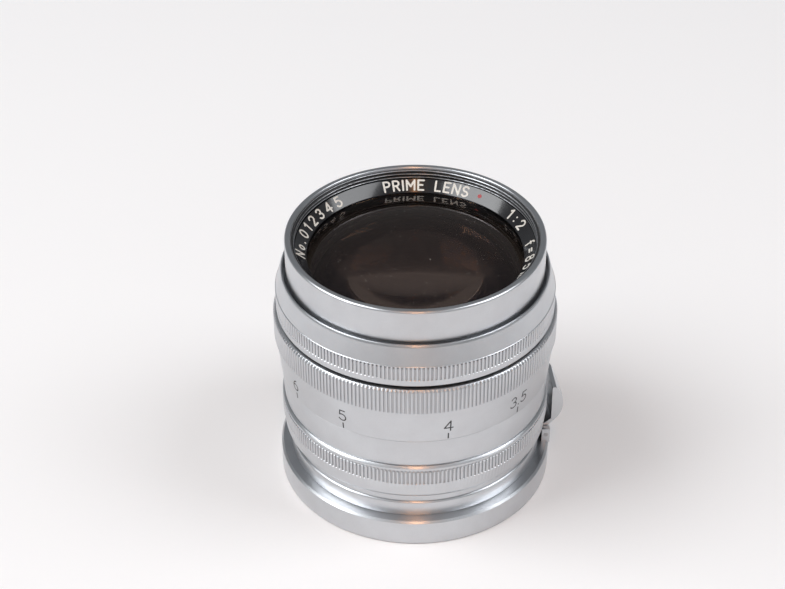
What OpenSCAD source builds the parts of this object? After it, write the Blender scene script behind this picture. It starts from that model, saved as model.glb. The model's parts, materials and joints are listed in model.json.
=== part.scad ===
// Prime camera lens, 85 mm f/2, for a rangefinder camera with an outer bayonet.
// Millimetres. The optical axis is +Z and points at the subject. The lens stands on the
// rear edge of its bayonet skirt at z = 0. The focus and aperture indexes are at +Y.

/* [Front] */
// Nominal diameter of the filter thread
filter_d = 48; // [44:0.5:54]
// Depth of the filter thread, crest to root
thread_depth = 0.4; // [0.2:0.05:0.6]
// Length of the filter thread
thread_h = 1.8; // [1.4:0.1:2.4]
// Metal outside the filter thread
rim_wall = 1.5; // [1.2:0.1:2.5]
// Height of the front rim above the aperture ring
rim_h = 7; // [6.5:0.1:9]
// Fall of the lettered cone of the name ring
name_cone_h = 1.9; // [1:0.1:2.5]
// Width of the lettered cone
name_cone_w = 2.3; // [1.8:0.1:3]

/* [Rings] */
// Height of the aperture ring
aperture_h = 8.9; // [8.4:0.1:11]
// Height of the knurled and plain lower part of the aperture ring
aperture_knurl_h = 4.7; // [4:0.1:5.5]
// Metal of the aperture ring outside the rim
aperture_wall = 2.2; // [1.8:0.1:3]
// Inward taper of the aperture scale
aperture_taper = 1.2; // [0.5:0.1:1.5]
// Height of the focus ring
focus_h = 13.3; // [12:0.1:16]
// Height of the knurl on the focus ring
focus_knurl_h = 5.6; // [4:0.1:7]
// Metal of the focus ring at its knurl
focus_wall = 2.45; // [2.2:0.05:3.5]
// Metal of the focus ring at the low edge of its scale
focus_scale_wall = 1.35; // [1.2:0.05:1.8]
// Height of the fixed band that carries the depth scale
band_h = 6.4; // [5:0.1:8]
// Metal of the fixed band at its low edge
band_wall = 0.9; // [0.8:0.05:1.5]
// Height of the fixed grip ring
grip_h = 8; // [7:0.1:10]
// Metal of the grip ring
grip_wall = 0.85; // [0.7:0.05:1.5]

/* [Rear] */
// Height of the bayonet skirt
base_h = 5.75; // [5:0.05:7]
// Wall of the bayonet skirt
base_wall = 1.7; // [1.5:0.1:3]
// Space between the skirt's bore and the barrel's foot, on the radius
skirt_space = 0.4; // [0.3:0.1:0.8]
// How far the bayonet lugs reach in from the skirt's bore
lug_depth = 1; // [0.6:0.1:1.2]
// Thickness of the web over the skirt
web_h = 1.45; // [1.2:0.05:2]
// Height of the rounded foot of the barrel
foot_h = 2.55; // [2:0.05:4]
// Height of the neck under the grip ring
neck_h = 3.3; // [3:0.1:5]

/* [Focusing] */
// Travel of the lens head from infinity to its nearest distance
focus_travel = 8.13; // [6:0.01:9]
// Turn of the focus ring over that travel
focus_turn = 227; // [180:1:240]
// Wall of the lens head under its helicoid
head_wall = 1.45; // [1.2:0.05:2]
// Wall of the rotating helicoid sleeve
sleeve_wall = 1.8; // [1.5:0.05:2.5]
// Width of the straight key
key_w = 4; // [3:0.1:6]

/* [Glass] */
// Bulge of the front element's face
front_bulge = 4.2; // [3:0.1:4.2]
// Centre thickness of the front element
front_thick = 7.4; // [6.8:0.1:7.4]
// Hollow of the front element's back
front_hollow = 1.5; // [0.5:0.1:1.5]
// Bulge of the triplet's face
triplet_bulge = 5.4; // [4:0.1:5.4]
// Hollow of the triplet's back
triplet_hollow = 4.4; // [3:0.1:4.6]
// Bulge of the rear element's front
rear_bulge = 1.94; // [1:0.02:2.2]
// Bulge of the rear element's back
rear_back_bulge = 1.31; // [0.8:0.01:1.6]

/* [Iris] */
// Number of iris blades, one node for each
blade_count = 12; // [12:1:12]
// Thickness of a blade
blade_t = 0.05; // [0.04:0.01:0.06]
// Width of a blade
blade_w = 5.4; // [5.2:0.1:5.5]
// Radius of the smallest opening
iris_shut_r = 1.75; // [1.75:0.05:5]
// Turn of the aperture ring from widest to smallest
aperture_turn = 70; // [60:1:72]

/* [Release lever] */
// Bearing of the lever round the skirt, from +X
lever_az = 6; // [0:1:12]
// Width of the lever
lever_w = 8.8; // [7:0.1:9]
// Outward bulge of its thumb pad
pad_bulge = 1.6; // [1:0.1:3]
// Height of the thumb pad
pad_h = 8.4; // [7:0.1:11]

/* [Hidden] */
$fn = 180;

// clearances
fit = 0.05;             // running and location fits, on the radius
air = 0.3;              // free space between parts that pass each other
shim = 0.1;             // axial play of a turning ring
edge = 0.4;             // ordinary bevel
cement = 0.02;          // cement between glued glasses

// radii, from the filter thread inwards
thread_crest_r = filter_d / 2 - thread_depth;
rim_r = filter_d / 2 + rim_wall;
front_cell_r = thread_crest_r - 2 * fit;
front_cell_wall = 1.75;
front_r = front_cell_r - front_cell_wall - fit;
journal_r = rim_r - air;
head_step = 1.25;
head_r = journal_r - head_step;
head_bore_r = head_r - head_wall;
drive_r = head_bore_r - fit;
drive_wall = 0.65;
triplet_cell_r = drive_r - drive_wall - air;
triplet_cell_wall = 2.45;
triplet_front_r = triplet_cell_r - triplet_cell_wall - fit;
triplet_middle_r = triplet_front_r - 1.5;
triplet_rear_r = triplet_middle_r - 2;
iris_open_r = triplet_rear_r - 1.5;
rear_r = iris_open_r - 0.5;
triplet_exit_r = iris_open_r - 0.1;      // bore of the lip behind the triplet
iris_throat_r = iris_open_r + 0.4;       // bore of the iris base and of the tube behind it

// radii, from the helicoid outwards
helicoid_r = head_r + fit;
sleeve_r = helicoid_r + sleeve_wall;
barrel_bore_r = sleeve_r + fit;
barrel_r = barrel_bore_r + 0.45;
band_low_r = barrel_bore_r + band_wall;
band_top_r = band_low_r + 0.35;
grip_r = barrel_r + fit + grip_wall;
grip_low_r = grip_r - 0.4;
focus_bore_r = sleeve_r + fit;
focus_r = focus_bore_r + focus_wall;
focus_low_r = focus_bore_r + focus_scale_wall;
aperture_bore_r = journal_r + fit;
aperture_r = rim_r + aperture_wall;
aperture_lip_r = rim_r + 2 * air;
head_flange_r = aperture_bore_r + 1.05;
tail_r = head_r - 0.75;
tongue_r = helicoid_r + 0.2;
tongue_t = 0.6;
neck_bore_r = tongue_r + air;
neck_r = neck_bore_r + 0.7;
foot_r = neck_r + 0.6;
skirt_bore_r = foot_r + skirt_space;
base_r = skirt_bore_r + base_wall;
lug_r = skirt_bore_r - lug_depth;

// heights, from the base upwards
foot_z = base_h;
neck_z = foot_z + foot_h;
grip_z = neck_z + neck_h;
band_z = grip_z + grip_h + shim;
focus_z = band_z + band_h + shim;
focus_top_z = focus_z + focus_h;
flange_gap = 0.45;
aperture_z = focus_top_z + flange_gap + fit;
aperture_top_z = aperture_z + aperture_h;
rim_top_z = aperture_top_z + rim_h;
head_flange_h = 0.65;
rim_sink = 2.5;
seat_z = aperture_top_z - rim_sink;      // top of the lens head, where the rim sits
barrel_step_z = grip_z + edge;
coupling_h = 1;
sleeve_z = barrel_step_z + shim + coupling_h;
ring_flange_h = 1;
sleeve_top_z = focus_top_z - ring_flange_h;
tail_z = base_h + 0.75;
tail_top_z = sleeve_z + shim;

// heights inside the lens head, from its seat
cell_flange_h = 1.1;
head_recess_h = 1.9;
cell_seat_z = seat_z - head_recess_h;
front_cell_z = cell_seat_z + cell_flange_h;
front_cell_floor = 0.9;
front_seat_z = front_cell_z + front_cell_floor;
front_edge_h = front_thick - front_bulge + front_hollow;
front_edge_z = front_seat_z + front_edge_h;
front_top_z = front_edge_z + front_bulge;
name_z = front_edge_z + 0.2;             // low edge of the name ring
name_step = 0.55;
name_lip_h = 0.3;
front_cell_h = name_z + name_step - front_cell_z;
front_clear_r = front_r - 0.8;
triplet_seat_z = cell_seat_z - 4;
triplet_edge_h = 1.6;
triplet_joint_z = triplet_seat_z - 6.6;  // vertex of the rear cemented face
triplet_joint_sag = 3.1;
triplet_back_z = triplet_joint_z - 1.5;  // vertex of the hollow back
triplet_floor_z = triplet_back_z - triplet_hollow;
triplet_lip_h = 0.8;
triplet_end_z = triplet_floor_z - triplet_lip_h;
triplet_step_z = triplet_joint_z + triplet_joint_sag;

// iris
blade_rise = 3;                          // climb of a blade from pivot to drive pin
blade_span = 150;                        // angle from pivot to drive pin
blade_tab_t = 0.12;
blade_pin_r = 0.4;
blade_pivot_r = iris_open_r + 6.6;
blade_drive_r = iris_open_r + 4.6;
drive_plate_h = 0.8;
drive_top_z = triplet_end_z - 0.45;
drive_z = drive_top_z - drive_plate_h;
blade_z = drive_z - 0.35 - blade_rise;
iris_base_h = 0.8;
iris_base_z = blade_z - shim - iris_base_h;
blade_shut_a = 2 * asin((iris_open_r - iris_shut_r) / (2 * blade_pivot_r));
blade_arm = [blade_drive_r * cos(blade_span) - blade_pivot_r, blade_drive_r * sin(blade_span)];
blade_arm_l = norm(blade_arm);
blade_arm_a = atan2(blade_arm[1], blade_arm[0]);
rib_h = 2.2;
rib_z = iris_base_z - rib_h;
drive_screw_z = aperture_z + 2.9;
drive_screw_az = 110;
drive_screw_r = 0.8;

// rear cell
rear_cell_r = rear_r + 4.5;
spigot_r = iris_open_r + 1.95;
rear_lip_z = rib_z - 2.6;
rear_edge_h = 2.75;
rear_edge_z = rear_lip_z - 0.24;         // front of the rear element's edge
rear_back_z = rear_edge_z - rear_edge_h;
rear_cell_z = rear_back_z - 4.9;
retainer_h = 1.1;

// focusing
lower_arm_x = skirt_bore_r - 2 * air;    // how far out a part inside the skirt may reach
key_az = 216.5;                          // middle of the arc the tongue never enters
key_t = 0.95;
key_in_r = head_bore_r + 0.1;
key_foot_h = 1;
key_foot_w = 10;
key_foot_z = base_h - web_h - key_foot_h;
key_top_z = tail_z + focus_travel + 4;
slot_top_z = key_top_z + 0.8;
tongue_az = key_az - 180 + focus_turn / 2;
tongue_arc = 20;
tongue_z = 1.5;
guide_z = sleeve_z + 2.4;
guide_r = 0.75;
groove_depth = 0.55;
screw_ring_r = foot_r - 0.5;            // circle of the screws up into the barrel's foot

// release lever, in its own frame: x outwards, y round the lens, z up
pivot_x = foot_r + 0.95;
pivot_z = base_h + 1.65;
lever_pin_r = 0.5;
lever_boss_r = 0.85;
lever_t = 1.1;
lever_gap = 0.75;                        // free space between pad and grip ring
pad_x = grip_r + lever_gap;
pad_z = grip_z - 1.2;
pad_t = 0.8;
ear_w = 1.2;
ear_l = 1.7;
ear_h = 3.1;
pocket_wall = 0.8;
tooth_z = 2;
tooth_h = 1.2;
lug_arc = 34;
lug_z = 0.4;
lug_h = 1.2;

function ball_r(r, sag) = (r * r + sag * sag) / (2 * sag);

// a turned ring: r and z pairs spun about the axis
module turned(points) {
    rotate_extrude() polygon(points);
}

module tube(r_out, r_in, z, h) {
    translate([0, 0, z]) difference() {
        cylinder(r = r_out, h = h);
        translate([0, 0, -1]) cylinder(r = r_in, h = h + 2);
    }
}

// a sector of a tube, centred on a bearing
module tube_arc(r_out, r_in, z, h, az, arc) {
    translate([0, 0, z]) rotate([0, 0, az - arc / 2])
        rotate_extrude(angle = arc) translate([r_in, 0]) square([r_out - r_in, h]);
}

// a pin that lies along a radius
module radial_pin(r, from, to, z, az) {
    rotate([0, 0, az]) translate([from, 0, z]) rotate([0, 90, 0])
        cylinder(r = r, h = to - from, $fn = 48);
}

// a slotted cheese-head screw, head down, its shank pointing up from z = 0
module screw(shank_r, shank_h, head_r, head_h) {
    slot_w = head_r * 0.3;
    difference() {
        union() {
            translate([0, 0, -head_h]) cylinder(r = head_r, h = head_h, $fn = 48);
            cylinder(r = shank_r, h = shank_h, $fn = 48);
        }
        translate([-head_r - 1, -slot_w / 2, -head_h - 1])
            cube([2 * head_r + 2, slot_w, 1 + head_h * 0.45]);
    }
}

/* ---- fixed parts ---- */

flange_screw_r = 0.4;
flange_head_r = 0.7;
flange_head_h = 0.6;
flange_screw_h = 3.2;

module at_flange_screws() {
    for (i = [0:2])
        rotate([0, 0, key_az + 60 + 120 * i]) translate([screw_ring_r, 0, base_h - web_h + flange_head_h])
            children();
}

key_screw_r = 0.4;
key_screw_arc = 6.4;
key_screw_h = 2;
key_head_r = 0.7;
key_head_h = 0.5;

module at_key_screws() {
    for (side = [-1, 1])
        rotate([0, 0, key_az + side * key_screw_arc]) translate([screw_ring_r, 0, key_foot_z + 0.1])
            children();
}

module at_lever() {
    rotate([0, 0, lever_az]) children();
}

module bayonet_ring() {
    pocket_w = lever_w + 3 * air;
    color([0.75, 0.75, 0.76]) difference() {
        union() {
            turned([[skirt_bore_r, 0], [base_r - edge / 2, 0], [base_r, edge / 2],
                    [base_r, base_h - edge], [base_r - edge, base_h], [neck_bore_r, base_h],
                    [neck_bore_r, base_h - web_h], [skirt_bore_r, base_h - web_h]]);
            for (i = [0:2])
                tube_arc(skirt_bore_r + edge, lug_r, lug_z, lug_h, key_az + 120 * i, lug_arc);
            at_lever() for (side = [-1, 1])
                translate([pivot_x, side * (lever_w + air + ear_w) / 2, base_h + (ear_h - edge) / 2])
                    cube([ear_l, ear_w, ear_h + edge], center = true);
        }
        at_lever() {
            translate([lower_arm_x - air, -pocket_w / 2, tooth_z - 1])
                cube([base_r - pocket_wall - lower_arm_x + air, pocket_w, base_h]);
            translate([pivot_x, 0, pivot_z]) rotate([90, 0, 0])
                cylinder(r = lever_pin_r, h = 2 * lever_w, center = true, $fn = 48);
        }
        at_flange_screws() {
            cylinder(r = flange_screw_r, h = web_h, $fn = 48);
            translate([0, 0, -2]) cylinder(r = flange_head_r + fit, h = 2, $fn = 48);
        }
        at_key_screws() cylinder(r = key_screw_r, h = key_screw_h, $fn = 48);
    }
}

module fixed_barrel() {
    round_r = 0.7;
    color([0.78, 0.78, 0.79]) difference() {
        turned([[neck_bore_r, foot_z], [foot_r - 0.2, foot_z], [foot_r, foot_z + round_r],
                [foot_r, neck_z - round_r], [foot_r - 0.2, neck_z - 0.2], [neck_r, neck_z],
                [neck_r, grip_z], [barrel_r, grip_z], [barrel_r, band_z - shim],
                [band_low_r, band_z - shim], [band_top_r, band_z + band_h],
                [barrel_bore_r, band_z + band_h], [barrel_bore_r, barrel_step_z],
                [neck_bore_r, barrel_step_z]]);
        for (i = [0:2])
            radial_pin(guide_r, barrel_bore_r - 1, barrel_r + 1, guide_z, key_az + 120 * i);
        at_flange_screws() cylinder(r = flange_screw_r, h = flange_screw_h, $fn = 48);
        at_key_screws() cylinder(r = key_screw_r, h = key_screw_h, $fn = 48);
        radial_pin(spring_screw_r, neck_bore_r - 1, neck_r + 1, spring_z + spring_w / 2, spring_fixed_az);
    }
}

module grip_ring() {
    color([0.76, 0.76, 0.77])
        turned([[barrel_r + fit, grip_z], [grip_low_r, grip_z], [grip_r, grip_z + grip_h / 2],
                [grip_r, grip_z + grip_h - air], [grip_r - air, grip_z + grip_h],
                [barrel_r + fit, grip_z + grip_h]]);
}

module flange_screws() {
    color([0.6, 0.6, 0.62]) at_flange_screws()
        screw(flange_screw_r, flange_screw_h, flange_head_r, flange_head_h);
}

module focus_key() {
    color([0.72, 0.6, 0.3]) difference() {
        rotate([0, 0, key_az]) {
            translate([key_in_r, -key_w / 2, key_foot_z])
                cube([key_t, key_w, key_top_z - key_foot_z]);
            translate([key_in_r, -key_foot_w / 2, key_foot_z])
                cube([lower_arm_x - key_in_r, key_foot_w, key_foot_h]);
        }
        at_key_screws() {
            cylinder(r = key_screw_r, h = key_screw_h, $fn = 48);
            translate([0, 0, -1]) cylinder(r = key_head_r + fit, h = 1, $fn = 48);
        }
    }
}

module key_screws() {
    color([0.6, 0.6, 0.62]) at_key_screws() screw(key_screw_r, key_screw_h, key_head_r, key_head_h);
}

module guide_screws() {
    color([0.6, 0.6, 0.62]) for (i = [0:2])
        radial_pin(guide_r, sleeve_r - groove_depth + 2 * fit, barrel_r, guide_z, key_az + 120 * i);
}

/* ---- release lever ---- */

module lever_pin() {
    pin_l = lever_w + air + 2 * ear_w;
    color([0.7, 0.7, 0.72]) at_lever() translate([pivot_x, 0, pivot_z]) rotate([90, 0, 0])
        cylinder(r = lever_pin_r, h = pin_l, center = true, $fn = 48);
}

module release_lever() {
    arm_in = pivot_x - lever_t / 2;
    arm_out = pivot_x + lever_t / 2;
    pad_r = ball_r(pad_h / 2, pad_bulge);
    pad_a = asin(pad_h / 2 / pad_r);
    arc = [for (i = [0:12]) let (a = -pad_a + 2 * pad_a * i / 12)
        [pad_x + pad_t + pad_r * (cos(a) - cos(pad_a)), pad_z + pad_h / 2 + pad_r * sin(a)]];
    color([0.74, 0.74, 0.75]) at_lever() difference() {
        union() {
            rotate([90, 0, 0]) linear_extrude(lever_w, center = true) polygon(concat(
                [[lug_r - 0.2, tooth_z], [lower_arm_x + 0.8, tooth_z], [lower_arm_x + 0.8, base_h],
                [arm_out, base_h + 0.7], [arm_out, pad_z - 1.6]], arc,
                [[pad_x, pad_z + pad_h], [pad_x, pad_z + 0.2],
                [arm_in, pad_z - 1.2], [arm_in, base_h - 0.1], [lower_arm_x, base_h - 0.5],
                [lower_arm_x, tooth_z + tooth_h], [lug_r - 0.2, tooth_z + tooth_h]]));
            translate([pivot_x, 0, pivot_z]) rotate([90, 0, 0])
                cylinder(r = lever_boss_r, h = lever_w, center = true, $fn = 48);
        }
        translate([pivot_x, 0, pivot_z]) rotate([90, 0, 0])
            cylinder(r = lever_pin_r + fit, h = 2 * lever_w, center = true, $fn = 48);
        // the pad thins towards its far end
        translate([pad_x + pad_t + pad_bulge, -lever_w / 2, pad_z - 1])
            rotate([0, 0, atan(1.2 * pad_bulge / lever_w)]) cube([5, 2 * lever_w, pad_h + 2]);
    }
}

spring_w = 1.9;
spring_t = 0.25;
spring_z = neck_z + 0.7;
spring_fixed_az = 42;
spring_screw_r = 0.5;
spring_head_h = 0.5;

module lever_spring() {
    lift = 0.6;
    steps = 20;
    function leaf_r(i) = neck_r + fit + lift * pow(1 - i / steps, 2);
    function leaf_a(i) = lever_az - 3 + (spring_fixed_az + 5 - lever_az) * i / steps;
    inner = [for (i = [0:steps]) leaf_r(i) * [cos(leaf_a(i)), sin(leaf_a(i))]];
    outer = [for (i = [steps:-1:0]) (leaf_r(i) + spring_t) * [cos(leaf_a(i)), sin(leaf_a(i))]];
    color([0.5, 0.5, 0.52]) difference() {
        translate([0, 0, spring_z]) linear_extrude(spring_w) polygon(concat(inner, outer));
        radial_pin(spring_screw_r, neck_r - 1, neck_r + 2, spring_z + spring_w / 2, spring_fixed_az);
    }
}

module spring_screw() {
    head_in = neck_r + fit + spring_t + fit;
    color([0.6, 0.6, 0.62]) rotate([0, 0, spring_fixed_az])
        translate([head_in, 0, spring_z + spring_w / 2]) rotate([0, -90, 0])
            screw(spring_screw_r, head_in - neck_bore_r, spring_screw_r + 0.4, spring_head_h);
}

/* ---- focusing parts ---- */

module focus_ring() {
    color([0.8, 0.8, 0.81]) difference() {
        turned([[focus_bore_r, focus_z], [focus_low_r, focus_z],
                [focus_r - air, focus_top_z - focus_knurl_h], [focus_r, focus_top_z - focus_knurl_h],
                [focus_r, focus_top_z - edge], [focus_r - edge, focus_top_z],
                [helicoid_r + air, focus_top_z], [helicoid_r + air, sleeve_top_z],
                [focus_bore_r, sleeve_top_z]]);
        at_ring_screws() {
            translate([0, 0, -1]) cylinder(r = ring_screw_r, h = 3, $fn = 48);
            cylinder(r = ring_head_r + fit, h = 2, $fn = 48);
        }
    }
}

ring_screw_r = 0.5;
ring_screw_h = 2.5;
ring_head_r = 0.8;
ring_head_h = 0.5;

module at_ring_screws() {
    for (i = [0:2])
        rotate([0, 0, 30 + 120 * i])
            translate([(helicoid_r + sleeve_r) / 2 + 0.2, 0, focus_top_z - ring_head_h - 0.1]) children();
}

module focus_sleeve() {
    color([0.72, 0.6, 0.3]) difference() {
        tube(sleeve_r, helicoid_r, sleeve_z, sleeve_top_z - sleeve_z);
        tube(sleeve_r + 1, sleeve_r - groove_depth, guide_z - guide_r - fit, 2 * (guide_r + fit));
        at_ring_screws() translate([0, 0, -ring_screw_h]) cylinder(r = ring_screw_r, h = 4, $fn = 48);
    }
}

module focus_ring_screws() {
    color([0.6, 0.6, 0.62]) at_ring_screws() mirror([0, 0, 1])
        screw(ring_screw_r, ring_screw_h, ring_head_r, ring_head_h);
}

module coupling_ring() {
    color([0.7, 0.58, 0.3]) {
        tube(sleeve_r - 0.1, helicoid_r + fit, sleeve_z - coupling_h, coupling_h);
        tube_arc(tongue_r + fit, tongue_r - tongue_t, tongue_z, sleeve_z - tongue_z,
                 tongue_az, tongue_arc);
    }
}

/* ---- lens head ---- */

module lens_head() {
    slot_a = aperture_turn + 8;
    color([0.2, 0.2, 0.21]) difference() {
        turned([[head_bore_r, tail_z], [tail_r, tail_z], [tail_r, tail_top_z], [head_r, tail_top_z],
                [head_r, aperture_z], [head_flange_r, aperture_z],
                [head_flange_r, aperture_z + head_flange_h - fit],
                [journal_r, aperture_z + head_flange_h - fit], [journal_r, seat_z],
                [front_cell_r + fit, seat_z], [front_cell_r + fit, cell_seat_z],
                [head_bore_r, cell_seat_z], [head_bore_r, rib_z + rib_h],
                [spigot_r + fit, rib_z + rib_h], [spigot_r + fit, rib_z], [head_bore_r, rib_z]]);
        // straight slot for the key
        rotate([0, 0, key_az]) translate([head_bore_r - 1, -key_w / 2 - fit, tail_z - 1])
            cube([4, key_w + 2 * fit, slot_top_z - tail_z + 1]);
        // arc for the aperture ring's drive screw
        tube_arc(journal_r + 1, head_bore_r - 1, drive_screw_z - drive_screw_r - shim,
                 2 * (drive_screw_r + shim), drive_screw_az + aperture_turn / 2, slot_a);
    }
}

// The thread's crests stand over a plain relief, and the low part of the wall is a little
// thinner, so that a slip-on hood stops clear of the aperture ring.
module filter_rim() {
    lip = 0.5;
    thread_z = rim_top_z - lip - thread_h;
    seat_h = 0.8;
    root_r = rim_r - 2 * fit;
    root_z = aperture_top_z + shim;
    color([0.8, 0.8, 0.82])
        turned([[thread_crest_r, seat_z], [rim_r + air, seat_z], [rim_r + air, seat_z + seat_h],
                [root_r, seat_z + seat_h + air], [root_r, root_z], [rim_r, root_z],
                [rim_r, rim_top_z - edge], [rim_r - edge, rim_top_z],
                [thread_crest_r + lip, rim_top_z], [thread_crest_r, rim_top_z - lip],
                [thread_crest_r, thread_z], [thread_crest_r + thread_depth, thread_z - thread_depth],
                [thread_crest_r + thread_depth, name_z + name_step],
                [thread_crest_r, name_z + name_step - thread_depth]]);
}

module name_ring() {
    in_r = thread_crest_r - fit - name_cone_w;
    cone_z = name_z + name_lip_h;
    color([0.05, 0.05, 0.05])
        turned([[in_r, name_z], [in_r, cone_z], [thread_crest_r - fit, cone_z + name_cone_h],
                [thread_crest_r - fit, name_z + name_step],
                [front_r + fit, name_z + name_step], [front_r + fit, name_z]]);
}

module front_cell() {
    color([0.1, 0.1, 0.1]) difference() {
        tube(front_cell_r, front_clear_r, front_cell_z, front_cell_h);
        translate([0, 0, front_seat_z]) cylinder(r = front_r + fit, h = front_cell_h);
    }
}

module front_element() {
    front_ball = ball_r(front_r, front_bulge);
    back_r = front_r - 0.55;
    back_ball = ball_r(back_r, front_hollow);
    color([0.55, 0.5, 0.6, 0.5]) difference() {
        intersection() {
            translate([0, 0, front_seat_z]) cylinder(r = front_r, h = front_edge_h + front_bulge + 1);
            translate([0, 0, front_top_z - front_ball]) sphere(r = front_ball);
        }
        translate([0, 0, front_seat_z + front_hollow - back_ball]) sphere(r = back_ball);
    }
}

module triplet_cell() {
    color([0.08, 0.08, 0.08])
        turned([[triplet_exit_r, triplet_end_z], [triplet_cell_r, triplet_end_z],
                [triplet_cell_r, cell_seat_z], [front_cell_r, cell_seat_z],
                [front_cell_r, front_cell_z], [triplet_front_r + fit, front_cell_z],
                [triplet_front_r + fit, triplet_seat_z], [triplet_middle_r + fit, triplet_seat_z],
                [triplet_middle_r + fit, triplet_step_z], [triplet_rear_r + fit, triplet_step_z],
                [triplet_rear_r + fit, triplet_floor_z], [triplet_exit_r, triplet_floor_z]]);
}

module triplet_front() {
    ball = ball_r(triplet_front_r, triplet_bulge);
    top = triplet_seat_z + triplet_edge_h + triplet_bulge;
    color([0.6, 0.6, 0.5, 0.5]) intersection() {
        translate([0, 0, triplet_seat_z]) cylinder(r = triplet_front_r, h = top);
        translate([0, 0, top - ball]) sphere(r = ball);
    }
}

module triplet_middle() {
    ball = ball_r(triplet_rear_r, triplet_joint_sag);
    h = triplet_seat_z - cement - triplet_joint_z;
    color([0.6, 0.65, 0.6, 0.5]) intersection() {
        translate([0, 0, triplet_joint_z]) cylinder(r = triplet_middle_r, h = h);
        translate([0, 0, triplet_joint_z + ball]) sphere(r = ball);
    }
}

module triplet_rear() {
    joint_ball = ball_r(triplet_rear_r, triplet_joint_sag);
    back_r = iris_open_r - 1.1;
    back_ball = ball_r(back_r, triplet_hollow);
    color([0.6, 0.6, 0.65, 0.5]) difference() {
        translate([0, 0, triplet_floor_z])
            cylinder(r = triplet_rear_r, h = triplet_joint_z + triplet_joint_sag - triplet_floor_z);
        translate([0, 0, triplet_joint_z - cement + joint_ball]) sphere(r = joint_ball);
        translate([0, 0, triplet_floor_z + triplet_hollow - back_ball]) sphere(r = back_ball);
    }
}

module triplet_retainer() {
    color([0.12, 0.12, 0.12])
        tube(triplet_front_r, triplet_front_r - 0.45, triplet_seat_z + triplet_edge_h + 0.3, 1);
}

module iris_base() {
    color([0.3, 0.3, 0.3]) difference() {
        tube(head_bore_r - fit, iris_throat_r, iris_base_z, iris_base_h);
        for (i = [0:blade_count - 1])
            rotate([0, 0, 360 / blade_count * i]) translate([blade_pivot_r, 0, iris_base_z - 1])
                cylinder(r = blade_pin_r + fit, h = iris_base_h + 2, $fn = 36);
    }
}

module rear_cell() {
    lip_r = rear_r - 0.6;
    color([0.1, 0.1, 0.1])
        turned([[rear_r + 1.5, rear_cell_z], [rear_cell_r, rear_cell_z], [rear_cell_r, rib_z],
                [spigot_r, rib_z], [spigot_r, rib_z + 1.8], [iris_throat_r, rib_z + 1.8],
                [iris_throat_r, rear_lip_z + 0.7], [lip_r, rear_lip_z + 0.7],
                [lip_r, rear_lip_z], [rear_r + fit, rear_lip_z],
                [rear_r + fit, rear_back_z - retainer_h]]);
}

module rear_element() {
    front_ball = ball_r(rear_r, rear_bulge);
    back_ball = ball_r(rear_r, rear_back_bulge);
    color([0.6, 0.6, 0.6, 0.5]) intersection() {
        translate([0, 0, rear_back_z - rear_back_bulge])
            cylinder(r = rear_r, h = rear_edge_h + rear_bulge + rear_back_bulge);
        translate([0, 0, rear_edge_z + rear_bulge - front_ball]) sphere(r = front_ball);
        translate([0, 0, rear_back_z - rear_back_bulge + back_ball]) sphere(r = back_ball);
    }
}

module rear_retainer() {
    color([0.12, 0.12, 0.12]) tube(rear_r, rear_r - 0.9, rear_back_z - 0.22 - retainer_h, retainer_h);
}

/* ---- aperture parts ---- */

module aperture_ring() {
    web_top = seat_z - fit;
    web_z = aperture_z + head_flange_h;
    color([0.77, 0.77, 0.78]) difference() {
        turned([[head_flange_r + air, aperture_z], [aperture_r - air, aperture_z],
                [aperture_r, aperture_z + air], [aperture_r, aperture_z + aperture_knurl_h],
                [aperture_r - aperture_taper, aperture_top_z - edge / 2],
                [aperture_r - aperture_taper - edge / 4, aperture_top_z],
                [aperture_lip_r, aperture_top_z], [aperture_lip_r, web_top],
                [aperture_bore_r, web_top], [aperture_bore_r, web_z], [head_flange_r + air, web_z]]);
        radial_pin(drive_screw_r, aperture_bore_r - 1, aperture_r + 1, drive_screw_z, drive_screw_az);
    }
}

module aperture_drive_screw() {
    tip_r = drive_r - drive_wall + 0.1;
    slot_w = 0.3;
    color([0.6, 0.6, 0.62]) difference() {
        radial_pin(drive_screw_r, tip_r, aperture_r - 0.5, drive_screw_z, drive_screw_az);
        rotate([0, 0, drive_screw_az]) translate([aperture_r - 1, -slot_w / 2, drive_screw_z - 1])
            cube([1, slot_w, 2]);
    }
}

// The slots take the pins from rest to the smallest opening. A pin leaves the radius a
// little on the way, because ring and blade turn at one fixed ratio, so the slots are wide.
module iris_drive_ring() {
    pin_az = blade_span + 1.25;
    shut_a = blade_arm_a + blade_shut_a;
    shut_pin = [blade_pivot_r + blade_arm_l * cos(shut_a), blade_arm_l * sin(shut_a)];
    slot_in = blade_arm_l - blade_pivot_r - blade_pin_r - air;
    slot_out = norm(shut_pin) + blade_pin_r + air;
    slot_w = 2.1;
    color([0.25, 0.25, 0.25]) difference() {
        union() {
            tube(drive_r, iris_open_r + 1, drive_z, drive_plate_h);
            tube(drive_r, drive_r - drive_wall, drive_z, cell_seat_z - 0.3 - drive_z);
        }
        for (i = [0:blade_count - 1])
            rotate([0, 0, 360 / blade_count * i + pin_az])
                translate([slot_in, -slot_w / 2, drive_z - 1])
                    cube([slot_out - slot_in, slot_w, drive_plate_h + 1.5]);
        radial_pin(drive_screw_r, drive_r - drive_wall - 1, drive_r + 1, drive_screw_z, drive_screw_az);
    }
}

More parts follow.
